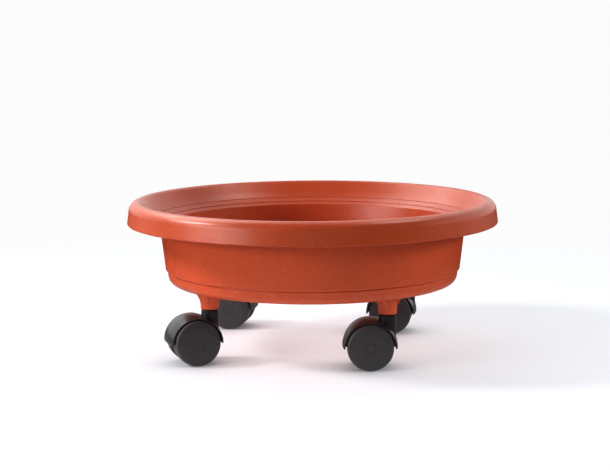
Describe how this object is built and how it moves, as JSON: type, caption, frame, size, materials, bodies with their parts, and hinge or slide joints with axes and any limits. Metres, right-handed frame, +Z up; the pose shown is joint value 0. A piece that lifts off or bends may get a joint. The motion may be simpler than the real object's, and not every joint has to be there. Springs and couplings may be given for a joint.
{
  "type": "plant pot caddy",
  "caption": "Round terracotta-coloured plastic tray with a wide rolled rim, carried on black twin-wheel swivel casters, for moving a heavy potted plant.",
  "frame": {"origin": "on the ground under the tray's axis", "axes": "+Z up along the tray's axis; the caster stems stand on the diagonals between X and Y, and -Y is the front"},
  "size_m": [0.3349, 0.335, 0.136],
  "materials": {
    "terracotta_plastic": "fine-grained moulded terracotta plastic, satin",
    "black_plastic": "moulded black plastic, satin",
    "wheel_plastic": "fine-grained charcoal-black plastic",
    "plated_steel": "zinc-plated steel",
    "blackened_steel": "blackened and oiled steel",
    "spring_steel": "blued spring steel"
  },
  "bodies": {
    "tray": {"tray": "terracotta_plastic", "front_right_stem": "blackened_steel", "front_right_grip_ring": "spring_steel", "front_right_retaining_ring": "spring_steel", "front_left_stem": "blackened_steel", "front_left_grip_ring": "spring_steel", "front_left_retaining_ring": "spring_steel", "back_left_stem": "blackened_steel", "back_left_grip_ring": "spring_steel", "back_left_retaining_ring": "spring_steel", "back_right_stem": "blackened_steel", "back_right_grip_ring": "spring_steel", "back_right_retaining_ring": "spring_steel"},
    "front_right_caster": {"front_right_housing": "black_plastic", "front_right_axle": "plated_steel"},
    "front_right_left_wheel": {"front_right_wheel_left": "wheel_plastic"},
    "front_right_right_wheel": {"front_right_wheel_right": "wheel_plastic"},
    "front_left_caster": {"front_left_housing": "black_plastic", "front_left_axle": "plated_steel"},
    "front_left_left_wheel": {"front_left_wheel_left": "wheel_plastic"},
    "front_left_right_wheel": {"front_left_wheel_right": "wheel_plastic"},
    "back_left_caster": {"back_left_housing": "black_plastic", "back_left_axle": "plated_steel"},
    "back_left_left_wheel": {"back_left_wheel_left": "wheel_plastic"},
    "back_left_right_wheel": {"back_left_wheel_right": "wheel_plastic"},
    "back_right_caster": {"back_right_housing": "black_plastic", "back_right_axle": "plated_steel"},
    "back_right_left_wheel": {"back_right_wheel_left": "wheel_plastic"},
    "back_right_right_wheel": {"back_right_wheel_right": "wheel_plastic"}
  },
  "joints": [
    {"name": "front_right_swivel", "type": "hinge", "parent": "tray", "child": "front_right_caster", "pos_m": [0.07818, -0.07818, 0.0464], "axis": [0, 0, 1], "continuous": true},
    {"name": "front_right_left_wheel_spin", "type": "hinge", "parent": "front_right_caster", "child": "front_right_left_wheel", "pos_m": [0.06339, -0.08071, 0.02], "axis": [0.1685, -0.9857, 0], "continuous": true},
    {"name": "front_right_right_wheel_spin", "type": "hinge", "parent": "front_right_caster", "child": "front_right_right_wheel", "pos_m": [0.06339, -0.08071, 0.02], "axis": [0.1685, -0.9857, 0], "continuous": true},
    {"name": "front_left_swivel", "type": "hinge", "parent": "tray", "child": "front_left_caster", "pos_m": [-0.07818, -0.07818, 0.0464], "axis": [0, 0, 1], "continuous": true},
    {"name": "front_left_left_wheel_spin", "type": "hinge", "parent": "front_left_caster", "child": "front_left_left_wheel", "pos_m": [-0.0914, -0.08527, 0.02], "axis": [0.4726, -0.8813, 0], "continuous": true},
    {"name": "front_left_right_wheel_spin", "type": "hinge", "parent": "front_left_caster", "child": "front_left_right_wheel", "pos_m": [-0.0914, -0.08527, 0.02], "axis": [0.4726, -0.8813, 0], "continuous": true},
    {"name": "back_left_swivel", "type": "hinge", "parent": "tray", "child": "back_left_caster", "pos_m": [-0.07818, 0.07818, 0.0464], "axis": [0, 0, 1], "continuous": true},
    {"name": "back_left_left_wheel_spin", "type": "hinge", "parent": "back_left_caster", "child": "back_left_left_wheel", "pos_m": [-0.09318, 0.07813, 0.02], "axis": [0.0035, -1, 0], "continuous": true},
    {"name": "back_left_right_wheel_spin", "type": "hinge", "parent": "back_left_caster", "child": "back_left_right_wheel", "pos_m": [-0.09318, 0.07813, 0.02], "axis": [0.0035, -1, 0], "continuous": true},
    {"name": "back_right_swivel", "type": "hinge", "parent": "tray", "child": "back_right_caster", "pos_m": [0.07818, 0.07818, 0.0464], "axis": [0, 0, 1], "continuous": true},
    {"name": "back_right_left_wheel_spin", "type": "hinge", "parent": "back_right_caster", "child": "back_right_left_wheel", "pos_m": [0.06319, 0.07765, 0.02], "axis": [0.0349, -0.9994, 0], "continuous": true},
    {"name": "back_right_right_wheel_spin", "type": "hinge", "parent": "back_right_caster", "child": "back_right_right_wheel", "pos_m": [0.06319, 0.07765, 0.02], "axis": [0.0349, -0.9994, 0], "continuous": true}
  ]
}
